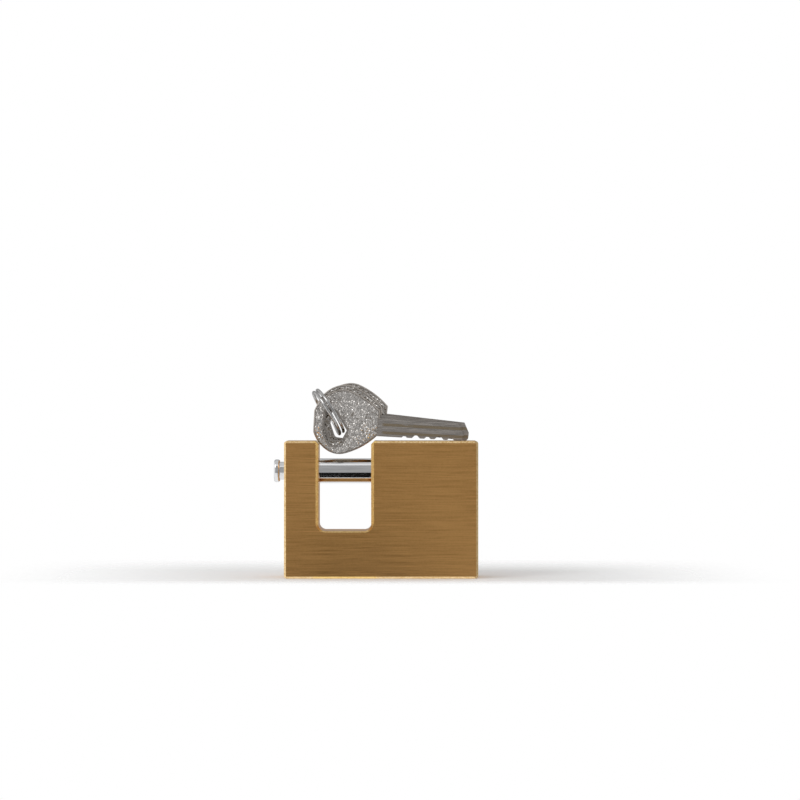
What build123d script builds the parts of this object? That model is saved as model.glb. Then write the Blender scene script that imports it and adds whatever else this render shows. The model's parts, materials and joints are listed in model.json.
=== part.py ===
from build123d import *
import os
from math import asin, atan2, cos, degrees, hypot, pi, radians, sin, sqrt

# Block padlock: a brass body with a sliding bolt, a pin tumbler cylinder and keys on a split ring.
# Millimetres, +Z up, +Y to the back. The origin is the middle of the body's underside.
# It is drawn closed but released: the bolt is home and the cylinder stands at its open angle.

# Brass body
body_width = 70.0
body_height = 49.5
body_depth = 20.0
body_bevel = 0.7
body_corner = 1.0

# Window for the hasp, between the pillar on the left and the block on the right
pillar_width = 12.4
window_width = 19.0
window_floor = 17.0
window_corner = 2.5
window_bevel = 1.0
window_floor_bevel = 0.45
mouth_bevel = 1.2

# Sliding bolt, and the knob that pulls it
bolt_diameter = 9.0
bolt_height = 38.6
bolt_fit = 0.05
bolt_end_room = 0.5
bolt_tip_bevel = 0.6
bolt_shoulder = 3.0
bolt_open_inset = 0.2
neck_diameter = 6.5
neck_length = 1.8
knob_diameter = 8.2
knob_length = 2.1
knob_round = 0.7

# Stop pin in the groove at the back of the bolt
stop_pin_diameter = 2.4
stop_pin_rise = 0.9
stop_groove_depth = 1.2
stop_room = 0.05
stop_pin_end_room = 0.2

# Plug that the key turns
plug_diameter = 11.0
plug_fit = 0.05
plug_from_right = 18.8
plug_recess = 0.3
plug_mouth_bevel = 0.4
open_angle = 90.0

# Pin that holds the plug in the body
retaining_pin_diameter = 2.0
retaining_pin_drop = 4.0
retaining_pin_reach = 2.0
retaining_room = 0.1

# Cam on top of the plug, half round where it stands in the bolt
cam_diameter = 6.4
cam_fit = 0.1
cam_neck = 4.5
cam_bite = 2.9
cam_flat_drop = 0.2
tang_thickness = 2.4
tang_height = 1.5
tang_fit = 0.05

# Pins, springs and caps in a row of chambers
pin_count = 5
pin_diameter = 2.8
pin_fit = 0.05
pin_bevel = 0.4
first_pin_height = 6.0
pin_row_drop = 6.8
driver_length = 4.5
pin_floor_radius = 0.4
spring_wire = 0.35
spring_side_room = 0.1
spring_end_room = 0.02
spring_turns = 5
cap_length = 3.0
press_room = 0.01

# Keys
key_count = 3
key_thickness = 2.3
key_gap = 0.35
bow_radius = 12.0
bow_left_trim = 0.6
bow_flat = 12.4
bow_flat_top = 5.0
bow_flat_bottom = -3.5
spine_flank_radius = 30.0
spine_flank_angle = 47.0
belly_flank_radius = 27.0
belly_flank_angle = -42.0
flank_round = 8.0
bow_edge_bevel = 0.35
grain_depth = 0.25
grain_rim = 0.5
hole_corners = ((-7.4, 4.4), (-4.0, 4.4), (1.0, -3.2), (-1.2, -8.4), (-5.4, -8.4), (-7.7, -3.6))
hole_round = 1.4
blade_length = 30.4
blade_height = 6.5
blade_drop = 4.3
blade_root = 3.6
tip_slant = 2.0
tip_nose = 3.0
tip_round = 1.2
cut_depths = (0.5, 1.0, 0.7, 1.2, 0.8)
cut_root = 0.9
groove_width = 1.0
groove_depth = 0.55
groove_cutter = 12.0
front_grooves = (0.0, -2.9)
back_grooves = (-1.45,)
keyway_fit = 0.15
keyway_spine = 3.2
key_tip_room = 0.3

# How the bunch lies: each key is shifted on the ring, front key first
key_rest_gap = 0.05
bow_wall_room = 0.4
bow_bolt_room = 0.9
key_shift = ((0.0, 0.0), (0.65, 1.8), (2.6, 2.4))

# Split ring
ring_wire = 1.1
ring_pitch = 1.55
ring_slack = 2.6
ring_side_room = 1.2
ring_seat_room = 1.3
ring_lean = 122.0
ring_twist = -8.0

# Length by which cutting tools run past a face, and how a wound wire is divided
overcut = 1.0
arcs_per_turn = 8
points_per_arc = 8

# Places worked out from the sizes above
left = -body_width / 2
right = body_width / 2
back = body_depth / 2
window_left = left + pillar_width
window_right = window_left + window_width
window_middle = (window_left + window_right) / 2
plug_x = right - plug_from_right
plug_radius = plug_diameter / 2
cam_radius = cam_diameter / 2
pin_radius = pin_diameter / 2
bolt_radius = bolt_diameter / 2
bolt_bottom = bolt_height - bolt_radius
bolt_tip = plug_x + cam_radius + cam_fit + bolt_shoulder
bolt_travel = bolt_tip - window_left + bolt_open_inset
stop_x = (left + window_left) / 2
stop_height = bolt_height + stop_pin_rise
plug_top = bolt_bottom - cam_neck
cam_top = bolt_bottom + cam_bite
retaining_height = plug_top - retaining_pin_drop
keyway_top = plug_recess + blade_length - blade_root + key_tip_room
keyway_width = key_thickness + 2 * keyway_fit
pin_pitch = (plug_top - pin_row_drop - first_pin_height) / (pin_count - 1)
pin_heights = [first_pin_height + pin_pitch * i for i in range(pin_count)]
pin_outer = sqrt(plug_radius ** 2 - (pin_radius - pin_bevel) ** 2) - pin_fit
blade_edge_radius = blade_height - keyway_spine
chamber_start = plug_x + plug_radius + plug_fit
driver_end = chamber_start + driver_length
cap_start = right - cap_length
key_pitch = key_thickness + key_gap


def rod(axis, diameter, low, high, first=0.0, second=0.0):
    """Round bar along an axis from low to high, placed by its two other coordinates in X, Y, Z order."""
    middle = (low + high) / 2
    places = {"X": (middle, first, second), "Y": (first, middle, second), "Z": (first, second, middle)}
    turns = {"X": Rot(0, 90, 0), "Y": Rot(90, 0, 0), "Z": Rot(0, 0, 0)}
    return Pos(*places[axis]) * turns[axis] * Cylinder(diameter / 2, high - low)


def block(x, y, z):
    """Box between two values on each axis."""
    middle = Pos((x[0] + x[1]) / 2, (y[0] + y[1]) / 2, (z[0] + z[1]) / 2)
    return middle * Box(x[1] - x[0], y[1] - y[0], z[1] - z[0])


def upright(sketch, y=0.0):
    """Sketch drawn in X and Z, standing at a depth y."""
    return Plane.XZ.offset(-y) * sketch


def biarc(start, leaving, end, arriving):
    """Two tangent arcs from start to end that leave and arrive along the given directions."""
    span = end - start
    both = leaving + arriving
    bend = 2 * (1 - leaving.dot(arriving))
    reach = (sqrt(span.dot(both) ** 2 + bend * span.dot(span)) - span.dot(both)) / bend
    joint = (start + end + (leaving - arriving) * reach) * 0.5
    first = TangentArc(start, joint, tangent=leaving)
    return [first, TangentArc(joint, end, tangent=first % 1)]


def least_gap(arcs, wire):
    """Smallest clear distance between a wound wire and its own other turns, on points along it."""
    points = [arc @ (i / points_per_arc) for arc in arcs for i in range(points_per_arc)]
    half_turn = arcs_per_turn * points_per_arc // 2
    return min((a - b).length for i, a in enumerate(points) for b in points[i + half_turn:]) - wire


def wound(name, radius, heights, wire, slope=0.0):
    """Wire wound about Z, a quarter turn between one height and the next."""
    stations = []
    for i, height in enumerate(heights):
        angle = pi / 2 * i
        point = Vector(radius * cos(angle), radius * sin(angle), height)
        heading = Vector(-sin(angle) * cos(slope), cos(angle) * cos(slope), sin(slope))
        stations.append((point, heading))
    arcs = []
    for here, ahead in zip(stations, stations[1:]):
        arcs += biarc(*here, *ahead)
    print(name, "least gap between turns", round(least_gap(arcs, wire), 3), "mm")
    section = Plane(origin=stations[0][0], z_dir=stations[0][1]) * Circle(wire / 2)
    return sweep(section, path=Wire(arcs))


def window_tool(grow):
    """Outline of the window, grown by a bevel that is narrower along the floor, open at the top."""
    low = window_floor - grow * window_floor_bevel / window_bevel
    high = body_height + window_width
    outline = RectangleRounded(window_width + 2 * grow, high - low, window_corner + grow)
    return Pos(window_middle, (low + high) / 2) * outline


def make_body():
    """Brass block with its window, bolt bore, plug bore, pin chambers and pin holes."""
    outline = Pos(0, body_height / 2) * RectangleRounded(body_width, body_height, body_corner)
    body = extrude(upright(outline), body_depth / 2, both=True)
    body = chamfer(body.faces().filter_by(Axis.Y).edges(), body_bevel)
    body -= extrude(upright(window_tool(0)), body_depth, both=True)
    for side in (-1, 1):
        face_outline = upright(window_tool(window_bevel + overcut), side * (back + overcut))
        throat_outline = upright(window_tool(0), side * (back - window_bevel))
        body -= loft([face_outline, throat_outline], ruled=True)
    mouth = Polygon(
        (window_left - mouth_bevel - overcut, body_height + overcut),
        (window_left, body_height - mouth_bevel),
        (window_right, body_height - mouth_bevel),
        (window_right + mouth_bevel + overcut, body_height + overcut),
        align=None,
    )
    body -= extrude(upright(mouth), body_depth, both=True)
    bore = bolt_diameter + 2 * bolt_fit
    body -= rod("X", bore, left - overcut, bolt_tip + bolt_end_room, 0, bolt_height)
    plug_bore = plug_diameter + 2 * plug_fit
    body -= rod("Z", plug_bore, -overcut, plug_top + plug_fit, plug_x, 0)
    mouth_radius = plug_bore / 2 + plug_mouth_bevel
    from_base = (Align.CENTER, Align.CENTER, Align.MIN)
    body -= Pos(plug_x, 0, 0) * Cone(mouth_radius, plug_bore / 2, plug_mouth_bevel, align=from_base)
    body -= rod("Z", cam_diameter + 2 * cam_fit, plug_top, bolt_height, plug_x, 0)
    for height in pin_heights:
        body -= rod("X", pin_diameter + 2 * pin_fit, plug_x, right + overcut, 0, height)
    stop_hole = stop_pin_diameter + 2 * press_room
    body -= rod("Y", stop_hole, 0, back + overcut, stop_x, stop_height)
    retaining_hole = retaining_pin_diameter + 2 * press_room
    retaining_x = plug_x - plug_radius
    body -= rod("Y", retaining_hole, -retaining_pin_reach, back + overcut, retaining_x, retaining_height)
    return body


def make_bolt():
    """Round bolt with its pull knob, stop groove and the pocket that the cam stands in."""
    shaft = rod("X", bolt_diameter, left + bolt_end_room, bolt_tip, 0, bolt_height)
    shaft = chamfer(shaft.edges().sort_by(Axis.X)[-1], bolt_tip_bevel)
    knob_start = left - neck_length
    neck = rod("X", neck_diameter, knob_start, left + bolt_end_room, 0, bolt_height)
    knob = rod("X", knob_diameter, knob_start - knob_length, knob_start, 0, bolt_height)
    knob = fillet(knob.edges().filter_by(GeomType.CIRCLE), knob_round)
    bolt = shaft + neck + knob
    groove = SlotCenterToCenter(bolt_travel, stop_pin_diameter + 2 * stop_room)
    groove = upright(Pos(stop_x + bolt_travel / 2, stop_height) * groove, bolt_radius - stop_groove_depth)
    bolt -= extrude(groove, -bolt_radius)
    pocket_radius = cam_radius + cam_fit
    pocket_top = cam_top + cam_fit
    bolt -= rod("Z", 2 * pocket_radius, bolt_bottom - overcut, pocket_top, plug_x, 0)
    channel_x = (plug_x, bolt_tip + overcut)
    bolt -= block(channel_x, (-cam_fit, pocket_radius), (bolt_bottom - overcut, pocket_top))
    return bolt


def at_open_angle(piece):
    """Piece of the cylinder, drawn about Z with its pins towards +X, turned to its open angle."""
    return Pos(plug_x, 0, 0) * Rot(0, 0, open_angle) * piece


def make_plug():
    """Key plug with its keyway and wards, pin holes, retaining groove and slot for the cam."""
    plug = rod("Z", plug_diameter, plug_recess, plug_top)
    half_width = keyway_width / 2
    edge = blade_edge_radius + keyway_fit
    spine = -keyway_spine - keyway_fit
    plug -= block((spine, edge), (-half_width, half_width), (plug_recess - overcut, keyway_top))
    for side, grooves in ((-1, front_grooves), (1, back_grooves)):
        for groove in grooves:
            middle = blade_edge_radius - blade_drop - groove
            ward = groove_width / 2 - keyway_fit
            tip = side * (half_width - groove_depth)
            root = side * (half_width + keyway_fit)
            plug += block((middle - ward, middle + ward), sorted((tip, root)), (plug_recess, keyway_top))
    for height in pin_heights:
        plug -= rod("X", pin_diameter + 2 * pin_fit, pin_floor_radius, plug_diameter, 0, height)
    groove_half = retaining_pin_diameter / 2 + retaining_room
    groove_low = retaining_height - groove_half
    groove_high = retaining_height + groove_half
    groove = rod("Z", 2 * plug_diameter, groove_low, groove_high)
    plug -= groove - rod("Z", plug_diameter - 2 * groove_half, groove_low, groove_high)
    slot_half = tang_thickness / 2 + tang_fit
    slot_length = plug_diameter + overcut
    slot_z = (plug_top - tang_height - tang_fit, plug_top + overcut)
    plug -= block((-slot_length / 2, slot_length / 2), (-slot_half, slot_half), slot_z)
    return at_open_angle(plug)


def make_cam():
    """Cam with a tang in the plug's slot and a half-round nose in the bolt, nose to the back when open."""
    cam = rod("Z", cam_diameter, plug_top, cam_top)
    nose_z = (bolt_bottom - cam_flat_drop, cam_top + overcut)
    cam -= block((-cam_diameter, 0), (-cam_diameter, cam_diameter), nose_z)
    tang_half = cam_radius - tang_fit
    tang_side = tang_thickness / 2
    tang = block((-tang_half, tang_half), (-tang_side, tang_side), (plug_top - tang_height, plug_top))
    return at_open_angle(cam + tang)


def make_pin(low, high, height):
    """Round tumbler pin along X with bevelled ends."""
    pin = rod("X", pin_diameter, low, high, 0, height)
    return chamfer(pin.edges().filter_by(GeomType.CIRCLE), pin_bevel)


def make_key_pin(index):
    """Lower pin that stands on the key's cut and ends at the plug's round."""
    low = blade_edge_radius - cut_depths[index]
    return at_open_angle(make_pin(low, pin_outer, pin_heights[index]))


def make_driver_pin(index):
    """Upper pin, held at the edge of the plug by its spring."""
    return make_pin(chamber_start, driver_end, pin_heights[index])


def make_spring(index):
    """Coil spring between the upper pin and its cap."""
    start = driver_end + spring_end_room + spring_wire / 2
    end = cap_start - spring_end_room - spring_wire / 2
    quarters = 4 * spring_turns
    heights = [(end - start) * i / quarters for i in range(quarters + 1)]
    radius = pin_radius - spring_side_room - spring_wire / 2
    slope = atan2(end - start, 2 * pi * radius * spring_turns)
    coil = wound(f"pin_spring_{index + 1}", radius, heights, spring_wire, slope)
    return Pos(start, 0, pin_heights[index]) * Rot(0, 90, 0) * coil


def make_caps():
    """Plugs pressed into the outer ends of the chambers, flush with the side of the body."""
    cap_diameter = pin_diameter + 2 * pin_fit - 2 * press_room
    return Compound(children=[rod("X", cap_diameter, cap_start, right, 0, height) for height in pin_heights])


def flank(corner_height, radius, angle, inset):
    """Disc whose rim is one of the bow's flatter flanks, through a corner of the flat at the blade."""
    direction = radians(angle)
    middle = Pos(bow_flat - radius * cos(direction), corner_height - radius * sin(direction))
    return middle * Circle(radius - inset)


def bow_outline(inset):
    """Round bow with a flat towards the blade, flatter flanks beside it and a trimmed left, moved inwards."""
    collar = Pos(bow_flat * 3 / 4 - inset, 0) * Rectangle(bow_flat / 2, 2 * bow_radius)
    outline = Circle(bow_radius - inset) + collar
    outline = outline & flank(bow_flat_top, spine_flank_radius, spine_flank_angle, inset)
    outline = outline & flank(bow_flat_bottom, belly_flank_radius, belly_flank_angle, inset)
    flank_ends = [corner for corner in outline.vertices() if corner.X < bow_flat / 2]
    outline = fillet(flank_ends, flank_round - inset)
    trim = Pos(bow_left_trim + inset - 2 * bow_radius, 0) * Rectangle(2 * bow_radius, 4 * bow_radius)
    return outline - trim


def hole_outline(grow):
    """Hole for the ring with rounded corners, grown by a margin."""
    outline = Polygon(*hole_corners, align=None)
    if grow:
        outline = offset(outline, grow, kind=Kind.INTERSECTION)
    return fillet(outline.vertices(), hole_round + grow)


def blade_outline():
    """Blade with its slanted nose and its cuts on the lower edge."""
    top = blade_height - blade_drop
    tip = bow_flat + blade_length
    blade = Polygon(
        (0, -blade_drop),
        (tip, -blade_drop),
        (tip, tip_nose - blade_drop),
        (tip - tip_slant, top),
        (0, top),
        align=None,
    )
    blade = fillet(blade.vertices().group_by(Axis.X)[-1], tip_round)
    stop = tip + key_tip_room - keyway_top
    for height, depth in zip(pin_heights, cut_depths):
        middle = stop + height
        root = cut_root / 2
        wide = root + depth + overcut
        blade -= Polygon(
            (middle - wide, -blade_drop - overcut),
            (middle + wide, -blade_drop - overcut),
            (middle + root, depth - blade_drop),
            (middle - root, depth - blade_drop),
            align=None,
        )
    return blade


def make_key():
    """Key about the middle of its bow, blade towards +X, cuts down."""
    half = key_thickness / 2
    bow = extrude(upright(bow_outline(0)), half, both=True)
    bow = chamfer(bow.faces().filter_by(Axis.Y).edges(), bow_edge_bevel)
    key = bow + extrude(upright(blade_outline()), half, both=True)
    tip = bow_flat + blade_length
    groove_start = bow_flat + blade_root
    for side, grooves in ((-1, front_grooves), (1, back_grooves)):
        floor = side * (half - groove_depth)
        beyond = side * (half + overcut)
        for groove in grooves:
            low, high = groove - groove_width / 2, groove + groove_width / 2
            key -= block((groove_start, tip + overcut), sorted((floor, beyond)), (low, high))
            key -= rod("Z", 2 * groove_cutter, low, high, groove_start, floor + side * groove_cutter)
        panel = bow_outline(grain_rim) - hole_outline(grain_rim)
        key -= extrude(upright(panel, side * (half - grain_depth)), -side * half)
    return key - extrude(upright(hole_outline(0)), key_thickness, both=True)


def bow_rise():
    """Height of the front bow's middle above the body, its rim clear of the window's edges and the bolt."""
    half_chord = window_width / 2 - bow_wall_room
    above_walls = sqrt(max(bow_radius ** 2 - half_chord ** 2, 0)) - mouth_bevel
    above_bolt = bolt_height + bolt_radius + bow_bolt_room + bow_radius - body_height
    return max(above_walls, above_bolt)


def key_tilt(rise):
    """Angle by which a key tips down until the end of its blade rests on the body."""
    reach = bow_flat + blade_length - tip_round
    return degrees(asin((rise - key_rest_gap) / hypot(reach, blade_drop)) - atan2(blade_drop, reach))


def bow_middle(index):
    """Middle of a key's bow, as X and height above the body."""
    return window_middle + key_shift[index][0], bow_rise() + key_shift[index][1]


def place_key(index, key):
    """Key in its layer of the bunch, bow in the window's mouth and blade on the body."""
    x, rise = bow_middle(index)
    y = key_pitch * (index - (key_count - 1) / 2)
    return Pos(x, y, body_height + rise) * Rot(0, key_tilt(rise), 0) * key


def make_ring():
    """Split ring through the holes of the keys, leaning over the rims of their bows."""
    lean = radians(ring_lean)
    twist = radians(ring_twist)
    outward = Vector(cos(lean), 0, sin(lean))
    flat_axis = outward.cross(Vector(0, 1, 0))
    axis = flat_axis * cos(twist) + Vector(0, 1, 0) * sin(twist)
    half_wide = ring_wire / 2 + abs(flat_axis.X) * ring_pitch / 2
    half_tall = ring_wire / 2 + abs(flat_axis.Z) * ring_pitch / 2
    hole_right = min(shift[0] for shift in key_shift) + max(corner[0] for corner in hole_corners)
    hole_bottom = max(shift[1] for shift in key_shift) + min(corner[1] for corner in hole_corners)
    x, rise = bow_middle(0)
    crossing = Vector(
        x + hole_right - half_wide - ring_side_room,
        0,
        body_height + rise + hole_bottom + half_tall + ring_seat_room,
    )
    print("ring crosses the keys at", crossing)
    reaches = []
    for index in range(key_count):
        bow_x, bow_height = bow_middle(index)
        to_bow = crossing - Vector(bow_x, 0, body_height + bow_height)
        along = to_bow.dot(outward)
        reaches.append(sqrt(along ** 2 - to_bow.dot(to_bow) + bow_radius ** 2) - along)
    radius = (max(reaches) + ring_slack + ring_wire / 2) / 2
    heights = [-ring_pitch / 2] * 4 + [ring_pitch / 2] * 4
    coil = wound("split_ring", radius, heights, ring_wire)
    return Plane(origin=crossing + outward * radius, x_dir=-outward, z_dir=axis) * coil


parts = {
    "lock_body": make_body(),
    "bolt": make_bolt(),
    "bolt_stop_pin": rod(
        "Y", stop_pin_diameter, bolt_radius - stop_groove_depth + stop_pin_end_room, back, stop_x, stop_height
    ),
    "plug": make_plug(),
    "locking_cam": make_cam(),
    "plug_retaining_pin": rod(
        "Y", retaining_pin_diameter, -retaining_pin_reach, back, plug_x - plug_radius, retaining_height
    ),
    "chamber_caps": make_caps(),
    "split_ring": make_ring(),
}
for pin in range(pin_count):
    parts[f"key_pin_{pin + 1}"] = make_key_pin(pin)
    parts[f"driver_pin_{pin + 1}"] = make_driver_pin(pin)
    parts[f"pin_spring_{pin + 1}"] = make_spring(pin)
blank_key = make_key()
for number in range(key_count):
    parts[f"key_{number + 1}"] = place_key(number, blank_key)

os.makedirs("parts", exist_ok=True)
for name, shape in parts.items():
    export_step(shape, f"parts/{name}.step")
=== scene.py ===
import json
from math import asin, atan2, cos, hypot, pi, radians, sin

import bpy
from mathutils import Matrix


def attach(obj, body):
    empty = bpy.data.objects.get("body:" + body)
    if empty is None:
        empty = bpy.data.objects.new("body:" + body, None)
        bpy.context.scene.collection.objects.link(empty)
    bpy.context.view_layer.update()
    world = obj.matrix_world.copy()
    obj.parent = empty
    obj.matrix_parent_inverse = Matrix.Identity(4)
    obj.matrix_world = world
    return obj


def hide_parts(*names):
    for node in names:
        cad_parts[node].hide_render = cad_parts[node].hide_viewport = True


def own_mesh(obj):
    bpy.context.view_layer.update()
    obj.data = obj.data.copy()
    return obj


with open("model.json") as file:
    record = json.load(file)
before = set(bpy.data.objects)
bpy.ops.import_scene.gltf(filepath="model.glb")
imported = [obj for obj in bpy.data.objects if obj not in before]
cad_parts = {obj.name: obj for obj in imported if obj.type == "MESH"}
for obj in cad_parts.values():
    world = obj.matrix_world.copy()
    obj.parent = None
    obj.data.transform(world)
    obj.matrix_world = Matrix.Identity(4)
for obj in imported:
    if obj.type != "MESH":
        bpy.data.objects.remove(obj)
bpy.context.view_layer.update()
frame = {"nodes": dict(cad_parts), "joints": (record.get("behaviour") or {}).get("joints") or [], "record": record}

# Block padlock: finishes for the CAD pieces, pebbled panels on the keys' bows, and a plain studio.
# The frame is in metres. Sizes below are in millimetres, and mm scales them where they are used.
mm = 0.001

# Lock, as the CAD has it
body_height = 49.5
window_x = -13.1
plug_x = 16.2

# Key, as the CAD has it, about the middle of its bow with the blade towards +X
bow_radius = 12.0
bow_left_trim = 0.6
bow_flat = 12.4
bow_flat_top = 5.0
bow_flat_bottom = -3.5
spine_flank_radius = 30.0
spine_flank_angle = 47.0
belly_flank_radius = 27.0
belly_flank_angle = -42.0
blade_length = 30.4
blade_drop = 4.3
tip_round = 1.2
key_rest_gap = 0.05
key_thickness = 2.3
key_pitch = 2.65
hole_corners = ((-7.4, 4.4), (-4.0, 4.4), (1.0, -3.2), (-1.2, -8.4), (-5.4, -8.4), (-7.7, -3.6))
hole_round = 1.4
grain_depth = 0.25
grain_rim = 0.5

# Pebbled panel that fills the recess of a bow
panel_side_room = 0.04
panel_sunk = 0.15
panel_low = 0.08
panel_voxel = 0.12
pebble_size = 1.0
pebble_height = 0.5
pebble_level = 0.35
disc_sides = 192
corner_steps = 8
cut_room = 1.0
least_depth = 1e-6

# Pin springs, each copied to stand for its CAD piece
pin_count = 5

# Brushing of the brass body: sizes of its lines and marks, and their weights
brush_length = 15
brush_width = 0.2
brush_weight = 0.6
streak_length = 60
streak_width = 0.6
streak_weight = 0.2
cloud_size = 26
cloud_weight = 0.1
speckle_size = 0.6
speckle_weight = 0.14

# Where the brass changes: how far a face is turned, and the places between which a tone comes in; on the bevels
# this tone is a painted highlight, stronger round the window, and a painted shade at the right end
side_facing = (0.6, 0.8)
bevel_facing = (0.12, 0.34)
mouth_fade = (47, 48)
window_highlight_fade = (12, 11)
right_shade_fade = (33.5, 34)

# Painted reflection of the brass body in the keys' grooves and cuts, by the distance from a key's middle, and the
# lathe's rings on the cylinder
brass_reflection_fade = (0.98, 0.7)
lathe_pitch = 0.22
lathe_weight = 0.12

# Tones of the finishes, each pair for the low and the high end of its grain
common_range = (0.3, 0.7)
brass_tones = ((0.495, 0.258, 0.081), (0.69, 0.377, 0.133))
# The three bevel pairs are painted light: a painted highlight on the bevels, a stronger one in a gold tone round
# the window, and a painted shade at the right end
painted_highlight_bevel_tones = ((0.66, 0.42, 0.17), (0.95, 0.72, 0.40))
painted_window_highlight_tones = ((0.78, 0.49, 0.16), (1.0, 0.74, 0.31))
painted_shade_bevel_tones = ((0.40, 0.26, 0.11), (0.58, 0.43, 0.23))
chrome_tones = ((0.78, 0.785, 0.795), (0.66, 0.665, 0.675))
plate_tones = ((0.31, 0.283, 0.26), (0.56, 0.522, 0.486))
# Brass tone of the painted reflection in the keys' grooves and cuts
painted_reflection_tone = (0.37, 0.30, 0.21)
pebble_tones = ((0.45, 0.426, 0.402), (0.70, 0.675, 0.65))
ring_tones = ((0.32, 0.315, 0.31), (0.52, 0.515, 0.51))
turned_tones = ((0.58, 0.35, 0.13), (0.80, 0.54, 0.25))
steel_tones = ((0.33, 0.33, 0.34), (0.50, 0.50, 0.51))
wire_tones = ((0.50, 0.50, 0.50), (0.68, 0.68, 0.68))

# Floor, with room under the lock, so that floor and base don't share a plane, and where it fades in
floor_size = 1000
floor_gap = 0.05
floor_sides = (150, 50)
floor_front = (-45, -13)
floor_behind = (120, 25)

# Studio cards, each with its extent along X, Y and Z and the strength of its light
cards = {
    "front_card": ((-420, 420), (-460, -455), (-160, 640), 0.42),
    "back_card": ((-420, 420), (455, 460), (-160, 640), 0.5),
    "dark_card": ((-37, 14), (-135, -132), (-260, 0), 0.01),
    "right_card": ((300, 305), (-200, 260), (-160, 260), 0.8),
    "top_card": ((-300, 300), (-120, 260), (330, 335), 0.7),
}

# Soft lamp, with its turn in degrees and its power in watts
lamp_place = (-260, -260, 380)
lamp_turn = (38, 0, -45)
lamp_size = 200
lamp_power = 0.5

# Camera square to the front face
camera_place = (6.8, -1010.0, 64.3)
camera_lens = 125.0
camera_sensor = 36


def deselect():
    """Nothing selected, so that an operator acts only on what is picked next."""
    bpy.ops.object.select_all(action="DESELECT")


def pick(piece):
    """The piece alone, selected and active."""
    deselect()
    piece.select_set(True)
    bpy.context.view_layer.objects.active = piece


def apply_modifier(piece, kind, **settings):
    """One modifier with its settings, applied to the mesh."""
    pick(piece)
    modifier = piece.modifiers.new(kind.lower(), kind)
    for name, value in settings.items():
        setattr(modifier, name, value)
    bpy.ops.object.modifier_apply(modifier=modifier.name)


def combine(piece, tool, operation):
    """Boolean of a piece with a tool, which is then removed."""
    apply_modifier(piece, "BOOLEAN", operation=operation, object=tool, solver="EXACT")
    bpy.data.objects.remove(tool)


def in_metres(place):
    """A place or a range given in millimetres."""
    return [part * mm for part in place]


def add_slab(x, y, z):
    """Box between two values on each axis."""
    deselect()
    middle = [(low + high) / 2 for low, high in (x, y, z)]
    span = [high - low for low, high in (x, y, z)]
    bpy.ops.mesh.primitive_cube_add(size=1.0, location=middle, scale=span)
    bpy.ops.object.transform_apply(location=True, rotation=True, scale=True)
    return bpy.context.active_object


def add_disc(x, z, radius, y):
    """Round slab between two depths."""
    deselect()
    bpy.ops.mesh.primitive_cylinder_add(
        vertices=disc_sides, radius=radius, depth=y[1] - y[0],
        location=(x, sum(y) / 2, z), rotation=(pi / 2, 0, 0),
    )
    bpy.ops.object.transform_apply(location=True, rotation=True, scale=True)
    return bpy.context.active_object


def cut_off(piece, point, outward):
    """What lies beyond a plane is cut off, and the cut is closed."""
    pick(piece)
    bpy.ops.object.mode_set(mode="EDIT")
    bpy.ops.mesh.select_all(action="SELECT")
    bpy.ops.mesh.bisect(plane_co=point, plane_no=outward, use_fill=True, clear_outer=True)
    bpy.ops.object.mode_set(mode="OBJECT")


def round_corners(piece, radius):
    """The edges along Y are rounded."""
    pick(piece)
    bpy.ops.object.mode_set(mode="EDIT")
    bpy.ops.mesh.select_mode(type="EDGE")
    bpy.ops.mesh.select_all(action="DESELECT")
    bpy.ops.object.mode_set(mode="OBJECT")
    points = piece.data.vertices
    for edge in piece.data.edges:
        start, end = (points[i].co for i in edge.vertices)
        edge.select = abs(start.y - end.y) > least_depth
    bpy.ops.object.mode_set(mode="EDIT")
    bpy.ops.mesh.bevel(offset=radius, segments=corner_steps, affect="EDGES")
    bpy.ops.object.mode_set(mode="OBJECT")


def model_hole(rim, y):
    """Slab the shape of a bow's hole with a rim round it, cut to its sides between two depths."""
    hole = add_slab((-bow_radius, bow_radius), y, (-bow_radius, bow_radius))
    for start, end in zip(hole_corners, hole_corners[1:] + hole_corners[:1]):
        along = (end[0] - start[0], end[1] - start[1])
        length = hypot(*along)
        outward = (-along[1] / length, 0, along[0] / length)
        cut_off(hole, (start[0] + rim * outward[0], 0, start[1] + rim * outward[2]), outward)
    round_corners(hole, hole_round + rim)
    return hole


def model_panel(side, pebbles):
    """Pebbled panel for one side of a bow, in millimetres about the bow's middle."""
    rim = grain_rim + panel_side_room
    face = side * key_thickness / 2
    y = sorted((face - side * panel_low, face - side * (grain_depth + panel_sunk)))
    past = (y[0] - cut_room, y[1] + cut_room)
    panel = add_disc(0, 0, bow_radius - rim, y)
    combine(panel, add_slab((bow_flat / 2, bow_flat - rim), y, (-bow_radius, bow_radius)), "UNION")
    flanks = (
        (bow_flat_top, spine_flank_radius, radians(spine_flank_angle)),
        (bow_flat_bottom, belly_flank_radius, radians(belly_flank_angle)),
    )
    for height, radius, angle in flanks:
        flank = add_disc(bow_flat - radius * cos(angle), height - radius * sin(angle), radius - rim, past)
        combine(panel, flank, "INTERSECT")
    cut_off(panel, (bow_left_trim + rim - bow_radius, 0, 0), (-1, 0, 0))
    combine(panel, model_hole(rim, past), "DIFFERENCE")
    apply_modifier(panel, "REMESH", mode="VOXEL", voxel_size=panel_voxel)
    apply_modifier(
        panel, "DISPLACE", texture=pebbles, texture_coords="LOCAL", direction="NORMAL",
        strength=-pebble_height, mid_level=pebble_level,
    )
    bpy.ops.object.shade_smooth()
    return panel


def key_tilt(bow_height):
    """Angle by which a key tips down until the end of its blade rests on the body."""
    reach = bow_flat + blade_length - tip_round
    rise = bow_height - body_height - key_rest_gap
    return asin(rise / hypot(reach, blade_drop)) - atan2(blade_drop, reach)


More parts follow.
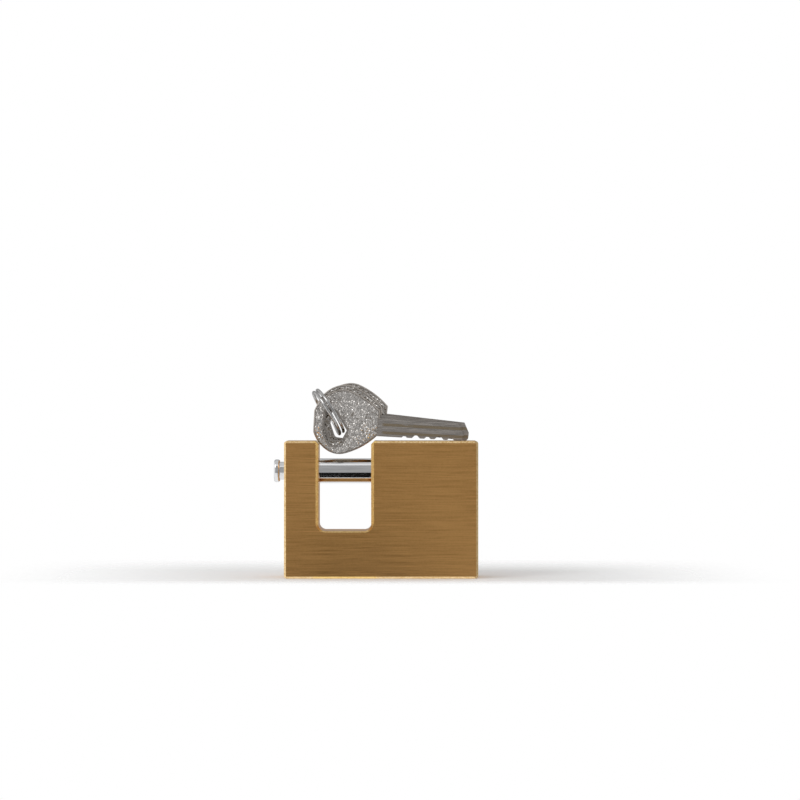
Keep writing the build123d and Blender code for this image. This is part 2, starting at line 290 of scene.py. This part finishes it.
def lay_on_key(panel, name, middle):
    """Copy of a panel on the bow whose middle is given in metres, with its place in its mesh."""
    piece = panel.copy()
    piece.data = panel.data.copy()
    piece.name = name
    bpy.context.scene.collection.objects.link(piece)
    piece.scale = (mm, mm, mm)
    piece.rotation_euler = (0, key_tilt(middle[2] / mm), 0)
    piece.location = middle
    pick(piece)
    bpy.ops.object.transform_apply(location=True, rotation=True, scale=True)
    return piece


class Finish:
    """A material in the making: its nodes, its shader and short ways to add and join nodes."""

    def __init__(self, name, colour, metallic, roughness):
        """The values hold for what the nodes added later don't drive."""
        self.material = bpy.data.materials.new(name)
        self.material.use_nodes = True
        self.tree = self.material.node_tree
        self.shader = self.tree.nodes["Principled BSDF"]
        self.shader.inputs["Base Color"].default_value = (*colour, 1)
        self.shader.inputs["Metallic"].default_value = metallic
        self.shader.inputs["Roughness"].default_value = roughness
        self.place = self.add("TexCoord")

    def add(self, kind, **settings):
        """New shader node with its settings."""
        node = self.tree.nodes.new("ShaderNode" + kind)
        for name, value in settings.items():
            setattr(node, name, value)
        return node

    def join(self, value, socket):
        """A constant is set on the socket, and an output is linked to it."""
        if isinstance(value, (int, float, tuple)):
            socket.default_value = value
        else:
            self.tree.links.new(value, socket)

    def math(self, operation, *values):
        """Result of an operation on constants or outputs."""
        node = self.add("Math", operation=operation)
        for value, socket in zip(values, node.inputs):
            self.join(value, socket)
        return node.outputs[0]

    def weigh(self, first, first_weight, second, second_weight):
        """Sum of two values, each multiplied by its weight."""
        return self.math("ADD", self.math("MULTIPLY", first, first_weight),
                         self.math("MULTIPLY", second, second_weight))

    def split(self, output):
        """The three parts of a vector."""
        node = self.add("SeparateXYZ")
        self.tree.links.new(output, node.inputs[0])
        return node.outputs

    def object_place(self):
        """X, Y and Z of the point, in metres."""
        return self.split(self.place.outputs["Object"])

    def normal_sizes(self):
        """How far the surface faces each axis, either way."""
        return [self.math("ABSOLUTE", part) for part in self.split(self.place.outputs["Normal"])]

    def grain(self, size, detail=3.0, roughness=0.6):
        """Noise whose features have a size in millimetres along each axis."""
        mapping = self.add("Mapping")
        mapping.inputs["Scale"].default_value = [1 / (part * mm) for part in size]
        self.tree.links.new(self.place.outputs["Object"], mapping.inputs["Vector"])
        noise = self.add("TexNoise")
        noise.inputs["Scale"].default_value = 1.0
        noise.inputs["Detail"].default_value = detail
        noise.inputs["Roughness"].default_value = roughness
        self.tree.links.new(mapping.outputs["Vector"], noise.inputs["Vector"])
        return noise.outputs["Fac"]

    def span(self, value, low, high, to_low=0.0, to_high=1.0):
        """A value taken from one range to another, with soft ends."""
        node = self.add("MapRange", interpolation_type="SMOOTHSTEP")
        for item, socket in zip((value, low, high, to_low, to_high), node.inputs):
            self.join(item, socket)
        return node.outputs[0]

    def fade(self, place, between):
        """From 0 to 1 between two places in millimetres."""
        return self.span(place, *in_metres(between))

    def blend(self, share, first, second):
        """Colour between two, each a colour or an output."""
        node = self.add("Mix", data_type="RGBA")
        self.join(share, node.inputs["Factor"])
        for item, socket in ((first, node.inputs[6]), (second, node.inputs[7])):
            self.join((*item, 1.0) if isinstance(item, tuple) else item, socket)
        return node.outputs[2]

    def colour(self, output):
        """The output drives the base colour."""
        self.tree.links.new(output, self.shader.inputs["Base Color"])

    def roughness(self, output):
        """The output drives the roughness."""
        self.tree.links.new(output, self.shader.inputs["Roughness"])

    def bump(self, height, depth, strength):
        """Fine relief of a depth in millimetres."""
        node = self.add("Bump")
        node.inputs["Strength"].default_value = strength
        node.inputs["Distance"].default_value = depth * mm
        self.tree.links.new(height, node.inputs["Height"])
        self.tree.links.new(node.outputs["Normal"], self.shader.inputs["Normal"])


def brushed_brass():
    """Brass brushed along its length, with a patchy painted highlight on the bevels, stronger round the window,
    and a painted shade on the bevels at the right end.
    """
    finish = Finish("brushed_brass", colour=(0.62, 0.33, 0.11), metallic=1.0, roughness=0.36)
    facing = finish.normal_sizes()
    across, _, height = finish.object_place()

    # Faces are brushed along X, and the two sides upwards
    fine_along = finish.grain((brush_length, brush_width, brush_width))
    fine_up = finish.grain((brush_width, brush_width, brush_length))
    on_side = finish.span(facing[0], *side_facing)
    fine = finish.weigh(fine_up, on_side, fine_along, finish.math("SUBTRACT", 1.0, on_side))
    streaks = finish.grain((streak_length, streak_width, streak_width), detail=2.0)
    speckle = finish.grain((speckle_size, speckle_size, speckle_size), detail=3.0)
    clouds = finish.grain((cloud_size, cloud_size, cloud_size), detail=1.0)
    lines = finish.weigh(fine, brush_weight, streaks, streak_weight)
    marks = finish.weigh(clouds, cloud_weight, speckle, speckle_weight)
    tone = finish.math("ADD", lines, marks)
    face = finish.blend(finish.span(tone, low=0.36, high=0.62), *brass_tones)

    # Painted highlight on the bevels, stronger and in a gold tone round the window, and painted shade on the
    # bevels at the right end
    bevel = finish.math("MULTIPLY", facing[1], finish.math("ADD", facing[0], facing[2]))
    mouth = finish.math("MULTIPLY", finish.math("MULTIPLY", facing[0], facing[2]),
                        finish.fade(height, mouth_fade))
    edge = finish.span(finish.math("ADD", bevel, mouth), *bevel_facing)
    ragged = finish.span(finish.grain((0.5, 0.5, 0.5), detail=2.0), low=0.32, high=0.66)
    from_window = finish.math("ABSOLUTE", finish.math("SUBTRACT", across, window_x * mm))
    painted_highlight = finish.blend(ragged, *painted_highlight_bevel_tones)
    window_highlight = finish.blend(ragged, *painted_window_highlight_tones)
    right_end_shade = finish.blend(ragged, *painted_shade_bevel_tones)
    painted_highlight = finish.blend(finish.fade(from_window, window_highlight_fade), painted_highlight, window_highlight)
    painted_highlight = finish.blend(finish.fade(across, right_shade_fade), painted_highlight, right_end_shade)

    # The bevel mask lays the painted highlight and the painted shade over the brushed face
    finish.colour(finish.blend(edge, face, painted_highlight))
    finish.roughness(finish.span(lines, low=0.25, high=0.6, to_low=0.30, to_high=0.44))
    finish.bump(lines, depth=0.02, strength=0.5)
    return finish.material


def polished_chrome():
    """Chromed bolt with faint turning lines and hairline rub marks along it."""
    finish = Finish("polished_chrome", colour=(0.74, 0.745, 0.755), metallic=1.0, roughness=0.08)
    turned = finish.grain((0.25, 6, 6), detail=2.0)
    rubbed = finish.grain((9, 0.35, 0.35), detail=4.0)
    finish.colour(finish.blend(finish.span(rubbed, low=0.35, high=0.75), *chrome_tones))
    finish.roughness(finish.span(turned, low=0.3, high=0.75, to_low=0.05, to_high=0.14))
    finish.bump(turned, depth=0.004, strength=0.25)
    return finish.material


def nickel_key():
    """Nickel plate drawn along the blade, with a painted reflection of brass in patches in the grooves and cuts.
    """
    finish = Finish("nickel_key", colour=(0.46, 0.43, 0.40), metallic=1.0, roughness=0.3)
    drawn = finish.grain((7, 0.3, 0.3))
    depth = finish.object_place()[1]
    key_number = finish.math("ROUND", finish.math("DIVIDE", depth, key_pitch * mm))
    key_middle = finish.math("MULTIPLY", key_number, key_pitch * mm)
    from_middle = finish.math("ABSOLUTE", finish.math("SUBTRACT", depth, key_middle))
    # Painted reflection of the brass body, in patches, where a key's surface lies deep towards its middle
    patches = finish.span(finish.grain((4, 0.6, 0.6)), low=0.15, high=0.45)
    painted_reflection = finish.math("MULTIPLY", finish.fade(from_middle, brass_reflection_fade), patches)
    plate = finish.blend(finish.span(drawn, *common_range), *plate_tones)
    finish.colour(finish.blend(painted_reflection, plate, painted_reflection_tone))
    finish.roughness(finish.span(drawn, *common_range, to_low=0.22, to_high=0.36))
    finish.bump(drawn, depth=0.015, strength=0.4)
    return finish.material


def nickel_grain():
    """Nickel plate on the pebbled panels, with duller and brighter spots."""
    finish = Finish("nickel_grain", colour=(0.6, 0.575, 0.55), metallic=1.0, roughness=0.28)
    spots = finish.grain((0.5, 0.5, 0.5), detail=4.0, roughness=0.7)
    finish.colour(finish.blend(finish.span(spots, low=0.35, high=0.65), *pebble_tones))
    finish.roughness(finish.span(spots, *common_range, to_low=0.36, to_high=0.2))
    return finish.material


def ring_steel():
    """Plated spring steel wire, rubbed in spots."""
    finish = Finish("ring_steel", colour=(0.42, 0.415, 0.41), metallic=1.0, roughness=0.14)
    rubbed = finish.grain((0.8, 0.8, 0.8), detail=4.0)
    finish.colour(finish.blend(finish.span(rubbed, *common_range), *ring_tones))
    finish.roughness(finish.span(rubbed, *common_range, to_low=0.1, to_high=0.22))
    return finish.material


def turned_brass():
    """Brass of the cylinder, its pins and caps, with a lathe's rings about the cylinder's axis."""
    finish = Finish("turned_brass", colour=(0.70, 0.45, 0.19), metallic=1.0, roughness=0.25)
    x, y, _ = finish.object_place()
    off_axis = finish.math("SUBTRACT", x, plug_x * mm)
    squares = finish.math("ADD", finish.math("POWER", off_axis, 2.0), finish.math("POWER", y, 2.0))
    radius = finish.math("SQRT", squares)
    rings = finish.math("SINE", finish.math("MULTIPLY", radius, 2 * pi / (lathe_pitch * mm)))
    spots = finish.grain((0.7, 0.7, 0.7))
    tone = finish.math("ADD", finish.math("MULTIPLY", rings, lathe_weight), spots)
    finish.colour(finish.blend(finish.span(tone, low=0.25, high=0.75), *turned_tones))
    finish.roughness(finish.span(tone, low=0.25, high=0.75, to_low=0.34, to_high=0.2))
    return finish.material


def ground_steel():
    """Hard steel of the cross pins and the cam, ground with a faint oily tone."""
    finish = Finish("ground_steel", colour=(0.42, 0.42, 0.43), metallic=1.0, roughness=0.3)
    ground = finish.grain((0.25, 0.25, 2.5))
    finish.colour(finish.blend(finish.span(ground, *common_range), *steel_tones))
    finish.roughness(finish.span(ground, *common_range, to_low=0.22, to_high=0.4))
    return finish.material


def drawn_wire():
    """Bright wire of the pin springs."""
    finish = Finish("drawn_wire", colour=(0.6, 0.6, 0.6), metallic=1.0, roughness=0.2)
    drawn = finish.grain((0.4, 0.4, 0.4))
    finish.colour(finish.blend(finish.span(drawn, *common_range), *wire_tones))
    return finish.material


def glow(name, strength):
    """Material that sends out white light and mirrors nothing."""
    material = bpy.data.materials.new(name)
    material.use_nodes = True
    shader = material.node_tree.nodes["Principled BSDF"]
    shader.inputs["Base Color"].default_value = (0, 0, 0, 1)
    shader.inputs["Specular IOR Level"].default_value = 0.0
    shader.inputs["Emission Color"].default_value = (1, 1, 1, 1)
    shader.inputs["Emission Strength"].default_value = strength
    return material


def add_card(name, x, y, z, strength):
    """Glowing studio card that the metal mirrors and the camera looks through."""
    card = add_slab(in_metres(x), in_metres(y), in_metres(z))
    card.name = name
    card.data.materials.append(glow(f"{name}_glow", strength))
    card.visible_camera = False


def make_floor():
    """Pale floor that fades into the white round it, and is clear from below."""
    deselect()
    bpy.ops.mesh.primitive_plane_add(size=floor_size * mm, location=(0, 0, -floor_gap * mm))
    bpy.ops.object.transform_apply(location=True, rotation=True, scale=True)
    floor = bpy.context.active_object
    floor.name = "floor"
    finish = Finish("pale_floor", colour=(0.92, 0.92, 0.92), metallic=0.0, roughness=0.9)
    finish.shader.inputs["Specular IOR Level"].default_value = 0.1
    x, y, _ = finish.object_place()
    sides = finish.fade(finish.math("ABSOLUTE", x), floor_sides)
    front = finish.fade(y, floor_front)
    behind = finish.fade(y, floor_behind)
    from_above = finish.math("SUBTRACT", 1.0, finish.add("NewGeometry").outputs["Backfacing"])
    shown = finish.math("MULTIPLY", finish.math("MULTIPLY", sides, front), behind)
    finish.tree.links.new(finish.math("MULTIPLY", shown, from_above), finish.shader.inputs["Alpha"])
    floor.data.materials.append(finish.material)
    floor.visible_glossy = False


def make_studio():
    """White surroundings, the cards, a soft lamp at the upper left, and the floor."""
    world = bpy.data.worlds.new("studio")
    bpy.context.scene.world = world
    world.use_nodes = True
    world.node_tree.nodes["Background"].inputs["Color"].default_value = (1, 1, 1, 1)
    world.node_tree.nodes["Background"].inputs["Strength"].default_value = 1.0
    for name, (x, y, z, strength) in cards.items():
        add_card(name, x, y, z, strength)
    deselect()
    turn = [radians(angle) for angle in lamp_turn]
    bpy.ops.object.light_add(type="AREA", location=in_metres(lamp_place), rotation=turn)
    lamp = bpy.context.active_object
    lamp.name = "left_lamp"
    lamp.data.shape = "RECTANGLE"
    lamp.data.size = lamp_size * mm
    lamp.data.size_y = lamp_size * mm
    lamp.data.energy = lamp_power
    make_floor()


def make_camera():
    """Camera on a level line of sight along Y."""
    data = bpy.data.cameras.new("camera")
    data.lens = camera_lens
    data.sensor_width = camera_sensor
    camera = bpy.data.objects.new("camera", data)
    camera.location = in_metres(camera_place)
    camera.rotation_euler = (pi / 2, 0, 0)
    bpy.context.scene.collection.objects.link(camera)
    bpy.context.scene.camera = camera


make_camera()
make_studio()
bpy.context.scene.view_settings.view_transform = "Standard"

# Finishes of the CAD pieces, by the record's material slots
finishes = {
    "brass_body": brushed_brass(),
    "chrome_bolt": polished_chrome(),
    "cylinder_brass": turned_brass(),
    "hard_steel": ground_steel(),
    "spring_wire": drawn_wire(),
    "nickel_key": nickel_key(),
    "ring_steel": ring_steel(),
}
for subpart in frame["record"]["subparts"]:
    node = frame["nodes"][subpart["node"]]
    node.data.materials.clear()
    node.data.materials.append(finishes[subpart["material_slot"]])

# Pebbled panels: modelled once for each side, then laid on each key
pebbles = bpy.data.textures.new("pebbles", "VORONOI")
pebbles.noise_scale = pebble_size
pebble_finish = nickel_grain()
bow_middles = {
    joint["child"]: joint["pos_m"] for joint in frame["joints"] if joint["child"].endswith("_key")
}
for side, word in ((-1, "front"), (1, "back")):
    model = model_panel(side, pebbles)
    model.data.materials.append(pebble_finish)
    for body, middle in bow_middles.items():
        piece = lay_on_key(model, f"{body}_grain_{word}", middle)
        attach(piece, body)
    bpy.data.objects.remove(model)

# Pin springs: a copy of each stands for the CAD piece, which has to keep its shape
for number in range(1, pin_count + 1):
    name = f"pin_spring_{number}"
    coil = bpy.data.objects.new(f"{name}_coil", frame["nodes"][name].data.copy())
    bpy.context.scene.collection.objects.link(coil)
    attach(coil, "lock_case")
    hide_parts(name)
    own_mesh(coil)
